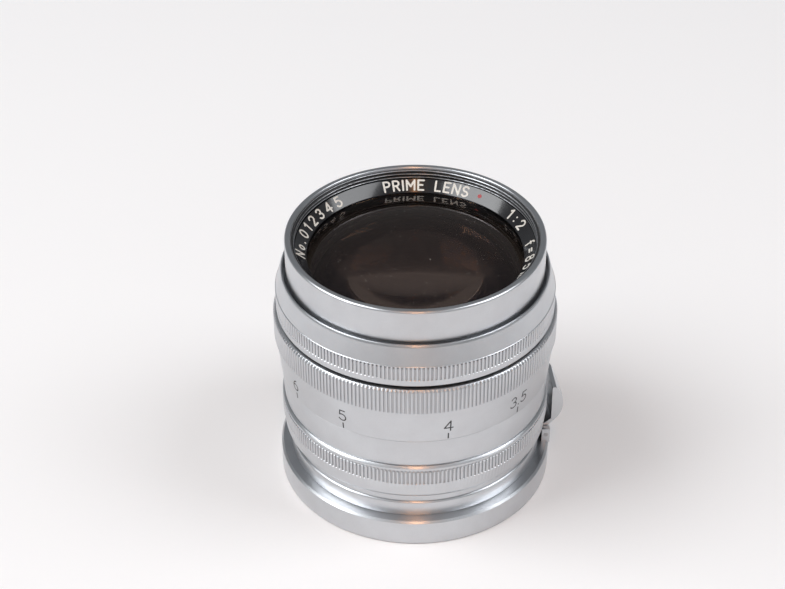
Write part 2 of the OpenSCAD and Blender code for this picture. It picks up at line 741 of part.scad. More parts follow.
// A blade climbs like a stair tread from its pivot, low, to its drive pin, high, so that
// each blade lies over the next one all the way round.
module iris_blade(index) {
    steps = 30;
    in_r = iris_open_r;
    out_r = iris_open_r + blade_w;
    pin_l = 0.75;
    ring = [for (i = [0:steps]) let (a = blade_span * i / steps, z = blade_rise * i / steps,
                                    u = [cos(a), sin(a)])
        each [[in_r * u[0], in_r * u[1], z], [out_r * u[0], out_r * u[1], z],
              [out_r * u[0], out_r * u[1], z + blade_t], [in_r * u[0], in_r * u[1], z + blade_t]]];
    sides = [for (i = [0:steps - 1], k = [0:3]) let (a = 4 * i + k, b = 4 * i + (k + 1) % 4)
        each [[a, b, b + 4], [a, b + 4, a + 4]]];
    last = 4 * steps;
    ends = [[3, 2, 1, 0], [last, last + 1, last + 2, last + 3]];
    color([0.15, 0.15, 0.16]) rotate([0, 0, 360 / blade_count * index]) translate([0, 0, blade_z]) {
        polyhedron(ring, concat(sides, ends));
        translate([out_r - 1.5, -0.8, 0]) cube([blade_pivot_r - out_r + 1.5, 1.6, blade_tab_t]);
        translate([blade_pivot_r, 0, 0]) cylinder(r = 0.8, h = blade_tab_t, $fn = 36);
        translate([blade_pivot_r, 0, -pin_l])
            cylinder(r = blade_pin_r, h = pin_l + blade_tab_t, $fn = 36);
        rotate([0, 0, blade_span]) translate([blade_drive_r, 0, blade_rise - 0.05]) {
            cylinder(r = 0.7, h = 0.05 + blade_tab_t, $fn = 36);
            cylinder(r = blade_pin_r, h = 0.05 + blade_tab_t + pin_l, $fn = 36);
        }
    }
}

bayonet_ring();
fixed_barrel();
grip_ring();
flange_screws();
focus_key();
key_screws();
guide_screws();
lever_pin();
lever_spring();
spring_screw();
release_lever();
focus_ring();
focus_sleeve();
coupling_ring();
focus_ring_screws();
lens_head();
filter_rim();
name_ring();
front_cell();
front_element();
triplet_cell();
triplet_front();
triplet_middle();
triplet_rear();
triplet_retainer();
iris_base();
rear_cell();
rear_element();
rear_retainer();
aperture_ring();
aperture_drive_screw();
iris_drive_ring();
iris_blade(0);  // iris_blade_01
iris_blade(1);  // iris_blade_02
iris_blade(2);  // iris_blade_03
iris_blade(3);  // iris_blade_04
iris_blade(4);  // iris_blade_05
iris_blade(5);  // iris_blade_06
iris_blade(6);  // iris_blade_07
iris_blade(7);  // iris_blade_08
iris_blade(8);  // iris_blade_09
iris_blade(9);  // iris_blade_10
iris_blade(10);  // iris_blade_11
iris_blade(11);  // iris_blade_12
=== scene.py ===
import json
import math

import bpy
import numpy as np
from mathutils import Matrix, Vector


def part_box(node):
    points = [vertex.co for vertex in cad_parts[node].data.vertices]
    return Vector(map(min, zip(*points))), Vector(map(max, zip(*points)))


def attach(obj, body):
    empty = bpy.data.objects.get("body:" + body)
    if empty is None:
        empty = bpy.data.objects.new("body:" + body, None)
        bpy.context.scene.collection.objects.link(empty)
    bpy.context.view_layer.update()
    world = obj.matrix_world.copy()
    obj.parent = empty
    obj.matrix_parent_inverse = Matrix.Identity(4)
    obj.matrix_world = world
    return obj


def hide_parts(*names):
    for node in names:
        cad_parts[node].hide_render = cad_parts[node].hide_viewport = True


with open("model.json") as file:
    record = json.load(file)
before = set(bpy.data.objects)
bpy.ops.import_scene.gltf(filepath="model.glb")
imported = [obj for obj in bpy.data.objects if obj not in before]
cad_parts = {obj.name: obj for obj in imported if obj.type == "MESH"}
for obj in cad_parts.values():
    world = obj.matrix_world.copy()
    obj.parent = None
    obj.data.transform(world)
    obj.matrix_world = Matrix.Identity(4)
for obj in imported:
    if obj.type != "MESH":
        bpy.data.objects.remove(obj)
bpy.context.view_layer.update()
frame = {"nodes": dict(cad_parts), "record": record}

record = frame["record"]
mm = 0.001  # all sizes below are in millimetres, and meshes are in metres


# camera and light

cameraSetup = {
    "place": (0, -297.3, 258.9),
    "turn": -0.869,
    "tiltDown": 36.196,
    "roll": -0.4,
    "focalLength": 85.03,
    "sensorWidth": 36,
    "nearest": 0.01,
}


def makeCamera(setup):
    data = bpy.data.cameras.new("camera")
    data.lens = setup["focalLength"]
    data.sensor_width = setup["sensorWidth"]
    data.clip_start = setup["nearest"]
    camera = bpy.data.objects.new("camera", data)
    turn = Matrix.Rotation(-math.radians(setup["turn"]), 4, "Z")
    tilt = Matrix.Rotation(math.radians(90 - setup["tiltDown"]), 4, "X")
    roll = Matrix.Rotation(math.radians(setup["roll"]), 4, "Z")
    camera.matrix_world = Matrix.Translation(Vector(setup["place"]) * mm) @ turn @ tilt @ roll
    bpy.context.scene.collection.objects.link(camera)
    bpy.context.scene.camera = camera


makeCamera(cameraSetup)
bpy.context.scene.view_settings.view_transform = "Standard"

lampTarget = (0, 0, 0.03)
lamps = {  # place and size in metres, and each lamp looks at the lens
    "softboxLeft": {"place": (-0.78, -0.15, 1.0), "size": (0.8, 0.8), "power": 10.8,
                    "colour": (0.97, 0.985, 1)},
    "softboxRight": {"place": (0.78, -0.1, 1.0), "size": (0.6, 0.8), "power": 6.1,
                     "colour": (0.96, 0.975, 1)},
    "warmStrip": {"place": (0.02, -0.85, 1.0), "size": (0.045, 1.5), "power": 2.1,
                  "colour": (1, 0.45, 0.18)},
    "frontCard": {"place": (0, -1.2, 1.15), "size": (2.2, 1.05), "power": 2.9,
                  "colour": (0.96, 0.98, 1)},
}
room = {"colour": (0.93, 0.96, 1.0), "strength": 0.24}


def makeLamps(lamps, room):
    target = Vector(lampTarget)
    for name, lamp in lamps.items():
        data = bpy.data.lights.new(name, "AREA")
        data.shape = "RECTANGLE"
        data.size, data.size_y = lamp["size"]
        data.energy = lamp["power"]
        data.color = lamp["colour"]
        light = bpy.data.objects.new(name, data)
        light.location = lamp["place"]
        light.rotation_euler = (target - light.location).to_track_quat("-Z", "Y").to_euler()
        bpy.context.scene.collection.objects.link(light)
    world = bpy.data.worlds.new("room")
    world.use_nodes = True
    background = world.node_tree.nodes["Background"]
    background.inputs["Color"].default_value = (*room["colour"], 1)
    background.inputs["Strength"].default_value = room["strength"]
    bpy.context.scene.world = world


makeLamps(lamps, room)
print("camera and lamps placed")


# shader maths

class Wire:  # one output of a node, so that sums on it read as sums
    def __init__(self, paint, socket):
        self.paint = paint
        self.socket = socket

    def maths(self, operation, first, second=0.0, third=0.0):
        values = {0: first, 1: second, 2: third}
        return self.paint.add("ShaderNodeMath", {"operation": operation}, values)

    def __add__(self, other):
        return self.maths("ADD", self, other)

    def __radd__(self, other):
        return self.maths("ADD", other, self)

    def __sub__(self, other):
        return self.maths("SUBTRACT", self, other)

    def __rsub__(self, other):
        return self.maths("SUBTRACT", other, self)

    def __mul__(self, other):
        return self.maths("MULTIPLY", self, other)

    def __rmul__(self, other):
        return self.maths("MULTIPLY", other, self)

    def __pow__(self, other):
        return self.maths("POWER", self, other)

    def above(self, level, blur):  # 0 below the level, 1 above it, with a soft edge
        settings = {"interpolation_type": "SMOOTHSTEP"}
        values = {"Value": self, "From Min": level - blur, "From Max": level + blur}
        return self.paint.add("ShaderNodeMapRange", settings, values)


class Paint:  # one material
    def __init__(self, name):
        self.material = bpy.data.materials.new(name)
        self.material.use_nodes = True
        self.tree = self.material.node_tree
        self.tree.nodes.clear()
        self.output = self.tree.nodes.new("ShaderNodeOutputMaterial")

    def add(self, kind, settings, values, out=0):
        node = self.tree.nodes.new(kind)
        for key, value in settings.items():
            setattr(node, key, value)
        for key, value in values.items():
            if isinstance(value, Wire):
                self.tree.links.new(value.socket, node.inputs[key])
            else:
                node.inputs[key].default_value = value
        return Wire(self, node.outputs[out])

    def place(self):  # a point of the piece, in millimetres
        point = self.add("ShaderNodeTexCoord", {}, {}, "Object")
        scale = {0: point, 3: 1 / mm}
        return self.add("ShaderNodeVectorMath", {"operation": "SCALE"}, scale)

    def noise(self, scale, detail=2.0, roughness=0.5):
        values = {"Scale": scale, "Detail": detail, "Roughness": roughness, "Vector": self.place()}
        return self.add("ShaderNodeTexNoise", {}, values)

    def turning(self, scale, detail=3.0):  # noise that changes only along the tool's path
        point = self.place()
        x = self.add("ShaderNodeSeparateXYZ", {}, {0: point}, "X")
        y = self.add("ShaderNodeSeparateXYZ", {}, {0: point}, "Y")
        z = self.add("ShaderNodeSeparateXYZ", {}, {0: point}, "Z")
        radius = (x * x + y * y) ** 0.5
        path = radius * 1.31 + z
        values = {"W": path, "Scale": scale, "Detail": detail}
        return self.add("ShaderNodeTexNoise", {"noise_dimensions": "1D"}, values)

    def mix(self, amount, low, high):  # two colours
        colour = {0: amount, 6: low, 7: high}
        return self.add("ShaderNodeMix", {"data_type": "RGBA"}, colour, 2)

    def bump(self, height, distance, strength=1.0):
        values = {"Height": height, "Distance": distance * mm, "Strength": strength}
        return self.add("ShaderNodeBump", {}, values)

    def finish(self, shader):
        self.tree.links.new(shader.socket, self.output.inputs["Surface"])
        return self.material


def rgb(red, green, blue):
    return (red, green, blue, 1.0)


# finishes

chrome = {
    "bright": rgb(0.62, 0.635, 0.655),
    "dull": rgb(0.575, 0.585, 0.605),
    # the groove colour, with its tint amount below, is painted shade: it darkens the knurl's grooves where
    # shade falls
    "groove": rgb(0.46, 0.465, 0.48),
    "roughness": 0.26,
    "roughnessSpread": 0.03,
    "lineRoughness": 0.05,
    "grooveRoughness": 0.1,
    "grooveShadeTint": 0.75,
    "anisotropy": 0.6,
    "lineScale": 9.0,  # turning lines in each millimetre
    "lineDepth": 0.0015,
    "pitDepth": 0.004,
}


def satinChrome(name, turned=True):
    paint = Paint(name)
    clouds = paint.noise(0.22, 4.0)
    specks = paint.noise(5.5, 3.0)
    lines = paint.turning(chrome["lineScale"])
    groove = paint.add("ShaderNodeAttribute", {"attribute_name": "groove"}, {}, "Fac")
    wear = (clouds * 0.6 + specks * 0.4).above(0.5, 0.22)
    metal = paint.mix(wear, chrome["dull"], chrome["bright"])
    # painted shade: the base colour darkens towards the groove colour where the knurl is cut
    colour = paint.mix(groove * chrome["grooveShadeTint"], metal, chrome["groove"])
    worn = chrome["roughness"] + (1 - wear) * chrome["roughnessSpread"]
    roughness = worn + lines * chrome["lineRoughness"] + groove * chrome["grooveRoughness"]
    height = lines * chrome["lineDepth"] + specks * chrome["pitDepth"] * 0.25
    surface = {
        "Base Color": colour,
        "Metallic": 1.0,
        "Roughness": roughness,
        "Anisotropic": chrome["anisotropy"] if turned else 0.0,
        "Anisotropic Rotation": 0.25,
        "Normal": paint.bump(height, 1.0, 0.6),
    }
    return paint.finish(paint.add("ShaderNodeBsdfPrincipled", {}, surface))


def plainMetal(name, light, dark, roughness, lineScale):
    paint = Paint(name)
    lines = paint.turning(lineScale)
    stain = paint.noise(0.7, 4.0)
    surface = {
        "Base Color": paint.mix(stain.above(0.5, 0.2), dark, light),
        "Metallic": 1.0,
        "Roughness": roughness + stain * 0.15,
        "Normal": paint.bump(lines, 0.004, 0.5),
    }
    return paint.finish(paint.add("ShaderNodeBsdfPrincipled", {}, surface))


def lacquer(name, dark, light, roughness, coat, dustAmount):
    paint = Paint(name)
    grain = paint.noise(14, 3.0)
    dust = paint.noise(3.1, 6.0, roughness=0.75).above(0.83 - dustAmount, 0.02)
    cast = paint.noise(0.3, 3.0)
    base = paint.mix(cast, dark, light)
    surface = {
        "Base Color": paint.mix(dust * 0.55, base, rgb(0.42, 0.40, 0.37)),
        "Roughness": roughness + cast * 0.08 + dust * 0.4,
        "Coat Weight": coat,
        "Coat Roughness": 0.08,
        "Normal": paint.bump(grain, 0.002, 0.4),
    }
    return paint.finish(paint.add("ShaderNodeBsdfPrincipled", {}, surface))


def inkFill(name, colour, worn):
    paint = Paint(name)
    chips = paint.noise(6, 5.0).above(0.42, 0.12)
    surface = {
        "Base Color": paint.mix(chips, worn, colour),
        "Roughness": 0.45 + (1 - chips) * 0.2,
        "Normal": paint.bump(chips, 0.01, 0.5),
    }
    return paint.finish(paint.add("ShaderNodeBsdfPrincipled", {}, surface))


def threadFinish(name, black, bare):
    paint = Paint(name)
    crest = paint.add("ShaderNodeAttribute", {"attribute_name": "groove"}, {}, "Fac")
    rub = paint.noise(2.2, 4.0)
    worn = (crest * 0.8 + rub * 0.4).above(0.86, 0.14)
    surface = {
        "Base Color": paint.mix(worn, black, bare),
        "Metallic": worn,
        "Roughness": 0.42 - worn * 0.12,
        "Normal": paint.bump(rub, 0.004, 0.4),
    }
    return paint.finish(paint.add("ShaderNodeBsdfPrincipled", {}, surface))


glassLook = {
    "tint": rgb(0.62, 0.55, 0.50),
    "tintEdge": rgb(0.58, 0.51, 0.47),
    "index": 1.55,
    "coatingIndex": 1.38,
    "coatingThickness": 118,  # nanometres
    "dust": rgb(0.55, 0.52, 0.48),
    "dustCover": 0.8,
}


def opticalGlass(name, dustLevel):
    paint = Paint(name)
    haze = paint.noise(0.35, 2.0)
    specks = paint.noise(2.6, 3.0, roughness=0.6).above(dustLevel, 0.012)
    patch = paint.noise(0.13, 2.0).above(0.5, 0.12)
    dust = specks * patch
    clear = paint.add("ShaderNodeBsdfPrincipled", {}, {
        "Base Color": paint.mix(haze, glassLook["tintEdge"], glassLook["tint"]),
        "Roughness": haze * 0.02,
        "IOR": glassLook["index"],
        "Transmission Weight": 1.0,
        "Thin Film Thickness": glassLook["coatingThickness"],
        "Thin Film IOR": glassLook["coatingIndex"],
    })
    gritLook = {"Base Color": glassLook["dust"], "Roughness": 0.9}
    grit = paint.add("ShaderNodeBsdfPrincipled", {}, gritLook)
    mixed = paint.add("ShaderNodeMixShader", {}, {0: dust * glassLook["dustCover"], 1: clear, 2: grit})
    return paint.finish(mixed)


finishes = {
    "satin_chrome": satinChrome("satinChrome"),
    "steel": plainMetal("steel", rgb(0.55, 0.55, 0.57), rgb(0.38, 0.37, 0.37), 0.28, 12),
    "brass": plainMetal("brass", rgb(0.72, 0.55, 0.26), rgb(0.55, 0.40, 0.18), 0.25, 10),
    "black_barrel": lacquer("blackBarrel", rgb(0.02, 0.02, 0.022), rgb(0.035, 0.035, 0.037),
                            0.35, 0.2, 0.05),
    "matt_black": lacquer("mattBlack", rgb(0.010, 0.009, 0.009), rgb(0.022, 0.020, 0.019),
                          0.55, 0.0, 0.04),
    "black_enamel": lacquer("blackEnamel", rgb(0.006, 0.006, 0.007), rgb(0.012, 0.012, 0.014),
                            0.14, 0.5, 0.09),
    "glass": opticalGlass("glass", 0.93),
    "blade_steel": plainMetal("bluedSteel", rgb(0.10, 0.10, 0.12), rgb(0.05, 0.05, 0.055), 0.38, 4),
}
threadMetal = threadFinish("threadMetal", rgb(0.016, 0.016, 0.017), rgb(0.42, 0.43, 0.45))
leverChrome = satinChrome("leverChrome", turned=False)
dustyGlass = opticalGlass("dustyGlass", 0.72)
blackInk = inkFill("blackInk", rgb(0.02, 0.02, 0.022), rgb(0.10, 0.10, 0.10))
whiteInk = inkFill("whiteInk", rgb(0.80, 0.78, 0.72), rgb(0.55, 0.53, 0.48))
redInk = inkFill("redInk", rgb(0.42, 0.03, 0.035), rgb(0.28, 0.04, 0.04))

for node in record["subparts"]:
    materials = frame["nodes"][node["node"]].data.materials
    materials.clear()
    materials.append(finishes[node["material_slot"]])
print("finishes made")


# meshes

def radii(node, low=-10.0, high=100.0):  # smallest and largest radius of a CAD node between two heights
    found = [math.hypot(v.co.x, v.co.y) / mm for v in frame["nodes"][node].data.vertices
             if low <= v.co.z / mm <= high]
    return min(found), max(found)


def heights(node):
    low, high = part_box(node)
    return low.z / mm, high.z / mm


def soften(corners, steps=3):
    # corners are (radius, height, bevel, cut); each bevel becomes a short curve
    rows = []
    count = len(corners)
    for i, (radius, height, bevel, cut) in enumerate(corners):
        here = Vector((radius, height))
        if bevel <= 0:
            rows.append((radius, height, cut))
            continue
        before = Vector(corners[i - 1][:2]) - here
        after = Vector(corners[(i + 1) % count][:2]) - here
        reach = min(bevel, before.length * 0.45, after.length * 0.45)
        start = here + before.normalized() * reach
        end = here + after.normalized() * reach
        for k in range(steps + 1):
            t = k / steps
            point = start * (1 - t) ** 2 + here * 2 * t * (1 - t) + end * t ** 2
            rows.append((point.x, point.y, cut))
    return np.array(rows)


def spin(rows, angles, swell=None):
    # a closed profile turned about the axis; swell moves points in or out
    radius = np.repeat(rows[:, :1], len(angles), axis=1)
    theta = angles[None, :]
    if swell is not None:
        radius = radius + swell(rows[:, 1:2], theta, rows[:, 2:3])
    height = np.repeat(rows[:, 1:2], len(angles), axis=1)
    points = np.stack([radius * np.cos(theta), radius * np.sin(theta), height], axis=-1)
    n, m = len(rows), len(angles)
    i = np.arange(n)[:, None]
    j = np.arange(m)[None, :]
    up = (i + 1) % n
    along = (j + 1) % m
    faces = np.stack([i * m + j, i * m + along, up * m + along, up * m + j], axis=-1)
    return points.reshape(-1, 3).tolist(), faces.reshape(-1, 4).tolist()


def evenAngles(count):
    return np.linspace(0, 2 * math.pi, count, endpoint=False)


def makePiece(name, points, faces, material, body, stands=(), sharp=32, groove=None):
    mesh = bpy.data.meshes.new(name)
    mesh.from_pydata([[c * mm for c in point] for point in points], [], faces)
    mesh.polygons.foreach_set("use_smooth", [True] * len(mesh.polygons))
    if groove is not None:
        layer = mesh.attributes.new("groove", "FLOAT", "POINT")
        layer.data.foreach_set("value", np.asarray(groove, np.float32).ravel())
    mesh.update()
    mesh.set_sharp_from_angle(angle=math.radians(sharp))
    mesh.materials.append(material)
    piece = bpy.data.objects.new(name, mesh)
    bpy.context.scene.collection.objects.link(piece)
    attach(piece, body)
    if stands:
        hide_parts(*stands)


ringColumns = 360


def makeRing(name, corners, material, body, stands):
    points, faces = spin(soften(corners), evenAngles(ringColumns))
    makePiece(name, points, faces, material, body, stands)


# One tooth of a knurl: how far round it each column stands, and how much of the cut it takes
toothPlaces = np.array([0.00, 0.04, 0.50, 0.54, 0.60, 0.94])
toothCuts = np.array([0.18, 0.00, 0.00, 0.18, 1.00, 1.00])


def makeKnurledRing(name, corners, teeth, depth, body, stands):
    angles = ((np.arange(teeth)[:, None] + toothPlaces[None, :]) * 2 * math.pi / teeth).ravel()
    cuts = np.tile(toothCuts, teeth)[None, :]
    rows = soften(corners)
    points, faces = spin(rows, angles, lambda z, theta, cut: -depth * cut * cuts)
    # the depth of cut, which the chrome finish also turns into painted shade in the grooves
    groove = np.minimum(rows[:, 2:3], 1) * cuts
    makePiece(name, points, faces, finishes["satin_chrome"], body, stands,
              groove=groove)


# characters, drawn with a round pen on a grid one unit high

def bow(x, y, width, height, start, end, steps=14):
    turns = [math.radians(start + (end - start) * k / steps) for k in range(steps + 1)]
    return [(x + width * math.cos(t), y + height * math.sin(t)) for t in turns]


def infinity(steps=28):
    turns = [2 * math.pi * k / steps for k in range(steps + 1)]
    return [(0.65 + 0.65 * math.cos(t), 0.5 + 0.62 * math.sin(t) * math.cos(t)) for t in turns]


glyphs = {  # each has its width and its strokes
    "0": (0.60, [bow(0.30, 0.5, 0.30, 0.5, 90, 450, 20)]),
    "1": (0.30, [[(0.02, 0.80), (0.24, 1.0), (0.24, 0.0)]]),
    "2": (0.60, [bow(0.30, 0.70, 0.29, 0.30, 165, -35) + [(0.02, 0.0)], [(0.02, 0.0), (0.60, 0.0)]]),
    "3": (0.58, [bow(0.28, 0.75, 0.25, 0.25, 155, -90), bow(0.28, 0.26, 0.30, 0.26, 90, -155)]),
    "4": (0.66, [[(0.48, 0.0), (0.48, 1.0), (0.0, 0.30), (0.66, 0.30)]]),
    "5": (0.60, [[(0.54, 1.0), (0.12, 1.0), (0.07, 0.56)],
                 [(0.07, 0.56)] + bow(0.28, 0.32, 0.31, 0.32, 118, -150)]),
    "6": (0.60, [bow(0.30, 0.31, 0.30, 0.31, 90, 450, 18), bow(0.66, 0.31, 0.66, 0.71, 180, 105, 8)]),
    "7": (0.58, [[(0.0, 1.0), (0.58, 1.0), (0.20, 0.0)]]),
    "8": (0.60, [bow(0.30, 0.76, 0.24, 0.24, 90, 450, 18), bow(0.30, 0.27, 0.30, 0.27, 90, 450, 18)]),
    "9": (0.60, [bow(0.30, 0.69, 0.30, 0.31, 90, 450, 18), bow(-0.06, 0.69, 0.66, 0.71, 0, -75, 8)]),
    ".": (0.12, [[(0.05, 0.02), (0.07, 0.02), (0.06, 0.07)]]),
    ":": (0.10, [[(0.05, 0.18), (0.06, 0.18)], [(0.05, 0.68), (0.06, 0.68)]]),
    "=": (0.46, [[(0.0, 0.36), (0.46, 0.36)], [(0.0, 0.62), (0.46, 0.62)]]),
    " ": (0.45, []),
    "E": (0.52, [[(0.52, 1.0), (0.0, 1.0), (0.0, 0.0), (0.52, 0.0)], [(0.0, 0.52), (0.42, 0.52)]]),
    "I": (0.04, [[(0.02, 0.0), (0.02, 1.0)]]),
    "L": (0.50, [[(0.0, 1.0), (0.0, 0.0), (0.50, 0.0)]]),
    "M": (0.74, [[(0.0, 0.0), (0.0, 1.0), (0.37, 0.35), (0.74, 1.0), (0.74, 0.0)]]),
    "N": (0.64, [[(0.0, 0.0), (0.0, 1.0), (0.64, 0.0), (0.64, 1.0)]]),
    "P": (0.54, [[(0.0, 0.0), (0.0, 1.0), (0.28, 1.0)], bow(0.28, 0.74, 0.26, 0.26, 90, -90),
                 [(0.28, 0.48), (0.0, 0.48)]]),
    "R": (0.56, [[(0.0, 0.0), (0.0, 1.0), (0.28, 1.0)], bow(0.28, 0.74, 0.26, 0.26, 90, -90),
                 [(0.28, 0.48), (0.0, 0.48)], [(0.28, 0.48), (0.56, 0.0)]]),
    "S": (0.56, [bow(0.28, 0.75, 0.26, 0.25, 30, 270), bow(0.28, 0.25, 0.28, 0.25, 90, -150)]),
    "f": (0.36, [bow(0.30, 0.80, 0.18, 0.20, 75, 180, 6) + [(0.12, 0.0)], [(0.0, 0.62), (0.32, 0.62)]]),
    "m": (0.72, [[(0.0, 0.0), (0.0, 0.62)], bow(0.18, 0.42, 0.18, 0.20, 180, 0, 8) + [(0.36, 0.0)],
                 bow(0.54, 0.42, 0.18, 0.20, 180, 0, 8) + [(0.72, 0.0)]]),
    "o": (0.44, [bow(0.22, 0.30, 0.22, 0.30, 90, 450, 16)]),
    "~": (1.30, [infinity()]),  # the sign for infinity
}


def letterStrokes(text, height, spacing):  # strokes in millimetres, centred, read along x
    strokes = []
    x = 0.0
    for letter in text:
        width, lines = glyphs[letter]
        strokes += [[(x + u * height, v * height) for u, v in line] for line in lines]
        x += (width + spacing) * height
    half = (x - spacing * height) / 2
    return [[(u - half, v) for u, v in stroke] for stroke in strokes]


def splitAtCorners(stroke, limit=35):
    parts = [[stroke[0]]]
    for k in range(1, len(stroke) - 1):
        parts[-1].append(stroke[k])
        before = Vector(stroke[k]) - Vector(stroke[k - 1])
        after = Vector(stroke[k + 1]) - Vector(stroke[k])
        if math.degrees(before.angle(after)) > limit:
            parts.append([stroke[k]])
    parts[-1].append(stroke[-1])
    return parts


def penStations(part, pen, step=0.35):
    # centre, direction and half width along one stroke, with round ends
    points = [Vector(p) for p in part]
    line = [points[0]]
    for a, b in zip(points, points[1:]):
        count = max(1, math.ceil((b - a).length / step))
        line += [a.lerp(b, (k + 1) / count) for k in range(count)]
    closed = (line[0] - line[-1]).length < 1e-6
    if closed:
        line = line[:-1]
    stations = []
    for k, point in enumerate(line):
        before = line[k - 1] if k or closed else point
        after = line[(k + 1) % len(line)] if k + 1 < len(line) or closed else point
        stations.append((point, (after - before).normalized(), pen))
    if not closed:
        turns = [math.radians(a) for a in (15, 40, 65)]
        caps = [(pen * math.cos(t), pen * math.sin(t)) for t in turns]
        first, last = stations[0], stations[-1]
        head = [(first[0] - first[1] * reach, first[1], half) for reach, half in caps]
        tail = [(last[0] + last[1] * reach, last[1], half) for reach, half in reversed(caps)]
        stations = head + stations + tail
    return stations, closed


def makeInlay(name, strokes, place, pen, material, body, lift=0.012, sink=0.06):
    # paint that fills engraved strokes; place(u, v, w) gives a point w above the surface
    points, faces = [], []
    for order, part in enumerate(p for stroke in strokes for p in splitAtCorners(stroke)):
        stations, closed = penStations(part, pen)
        top = lift + 0.0015 * (order % 4)
        start = len(points)
        for centre, along, half in stations:
            side = Vector((-along.y, along.x)) * half
            left, right = centre + side, centre - side
            points += [place(left.x, left.y, -sink), place(left.x, left.y, top),
                       place(centre.x, centre.y, top + 0.006), place(right.x, right.y, top),
                       place(right.x, right.y, -sink)]
        count = len(stations)
        for k in range(count if closed else count - 1):
            a = start + 5 * k
            b = start + 5 * ((k + 1) % count)
            faces += [[a + e, a + (e + 1) % 5, b + (e + 1) % 5, b + e] for e in range(5)]
        if not closed:
            faces.append([start + e for e in reversed(range(5))])
            faces.append([start + 5 * (count - 1) + e for e in range(5)])
    makePiece(name, points, faces, material, body, sharp=40)


def onWall(bearing, height, lowRadius, lowHeight, slope=0.0):
    # a tapered wall seen from outside: read from left to right, which is against the clock from above
    def place(u, v, w):
        z = height + v
        radius = lowRadius + (z - lowHeight) * slope
        theta = math.radians(bearing) + u / radius
        return ((radius + w) * math.cos(theta), (radius + w) * math.sin(theta), z + w * -slope)
    return place


# filter rim

rim = {
    "bevel": 0.18, "edge": 0.3, "lip": 0.5, "shell": 0.12, "foot": 0.8,
    "pitch": 0.75, "threadDepth": 0.4, "thread": 1.8,
}
ringFlange = 0.55  # thickness of the name ring's flange, on which the thread's wall ends


def makeFilterRim():
    low, high = heights("filter_rim")
    crest, flange = radii("filter_rim")
    root = crest + rim["threadDepth"]
    ringTop = heights("aperture_ring")[1]
    outer = radii("filter_rim", ringTop + 0.05, high - rim["edge"])[1]
    threadTop = high - rim["lip"]
    threadLow = threadTop - rim["thread"]
    floor = heights("name_ring")[0] + ringFlange
    corners = [
        (flange, low, 0, 0), (flange, low + rim["foot"], 0.1, 0), (outer - 0.1, low + 1.1, 0, 0),
        (outer - 0.1, ringTop + 0.1, 0, 0), (outer, ringTop + 0.2, 0, 0),
        (outer, high - rim["edge"], rim["bevel"], 0), (outer - rim["edge"], high, rim["bevel"], 0),
        (crest + 0.75, high, 0.15, 0), (root + rim["shell"], threadTop + 0.06, 0, 0),
        (root + rim["shell"], floor, 0, 0), (crest, floor, 0, 0), (crest, low, 0, 0),
    ]
    makeRing("filterRim", corners, finishes["satin_chrome"], "head", ["filter_rim"])

    # the thread, blackened in its grooves and rubbed bare on its crests
    steps = 30
    thread = [(root, threadTop - rim["thread"] * k / steps, math.sin(math.pi * min(1, (k + 1) / 6) / 2))
              for k in range(steps + 1)]
    back = root + rim["shell"]
    foot = [(root, threadLow - 0.3, 0), (root, floor, 0), (back, floor, 0)]
    rows = np.array([(back, threadTop + 0.06, 0)] + thread + foot)

    def toothAt(z, theta):
        phase = np.mod(z / rim["pitch"] - theta / (2 * math.pi), 1)
        return np.clip(1.15 - np.abs(phase - 0.5) * 2.9, 0, 1) * (rows[:, 2:3] > 0)

    angles = evenAngles(ringColumns)
    points, faces = spin(rows, angles, lambda z, theta, run: -rim["threadDepth"] * run * toothAt(z, theta))
    bare = toothAt(rows[:, 1:2], angles[None, :])
    makePiece("filterThread", points, faces, threadMetal, "head", ["filter_rim"],
              sharp=38, groove=bare)


makeFilterRim()
print("filter rim made")


# aperture ring

apertureLook = {"teeth": 217, "cut": 0.19, "land": 1.65, "knurl": 3.05, "step": 0.12}


def makeApertureRing():
    low, high = heights("aperture_ring")
    bore, outer = radii("aperture_ring")
    lip = radii("aperture_ring", high - 0.05)[0]
    topOuter = radii("aperture_ring", high - 0.3, high - 0.1)[1]
    seat = heights("filter_rim")[0] - 0.05
    web = low + 0.65
    clear = radii("aperture_ring", low - 0.05, low + 0.05)[0]
    knurlLow = low + apertureLook["land"]
    knurlTop = knurlLow + apertureLook["knurl"]
    corners = [
        (clear, low, 0, 0), (outer - 0.3, low, 0.06, 0), (outer, low + 0.3, 0.1, 0),
        (outer, knurlLow - 0.1, 0, 0), (outer, knurlLow, 0, 0.75), (outer, knurlLow + 0.15, 0, 1),
        (outer, knurlTop - 0.55, 0, 1), (outer, knurlTop - 0.45, 0, 1.9), (outer, knurlTop - 0.14, 0, 1.9),
        (outer, knurlTop - 0.06, 0, 0), (outer, knurlTop, 0.05, 0),
        (outer - apertureLook["step"], knurlTop + 0.10, 0.04, 0),
        (topOuter + 0.12, high - 0.42, 0.1, 0), (topOuter - 0.1, high, 0.06, 0),
        (lip, high, 0.08, 0), (lip, seat, 0, 0), (bore, seat, 0, 0), (bore, web, 0, 0), (clear, web, 0, 0),
    ]
    makeKnurledRing("apertureRing", corners, apertureLook["teeth"], apertureLook["cut"], "aperture",
                    ["aperture_ring"])


makeApertureRing()
print("aperture ring made")


# focus ring

focusLook = {"teeth": 220, "cut": 0.19, "knurl": 5.6, "edge": 0.45, "scaleTop": 0.3}


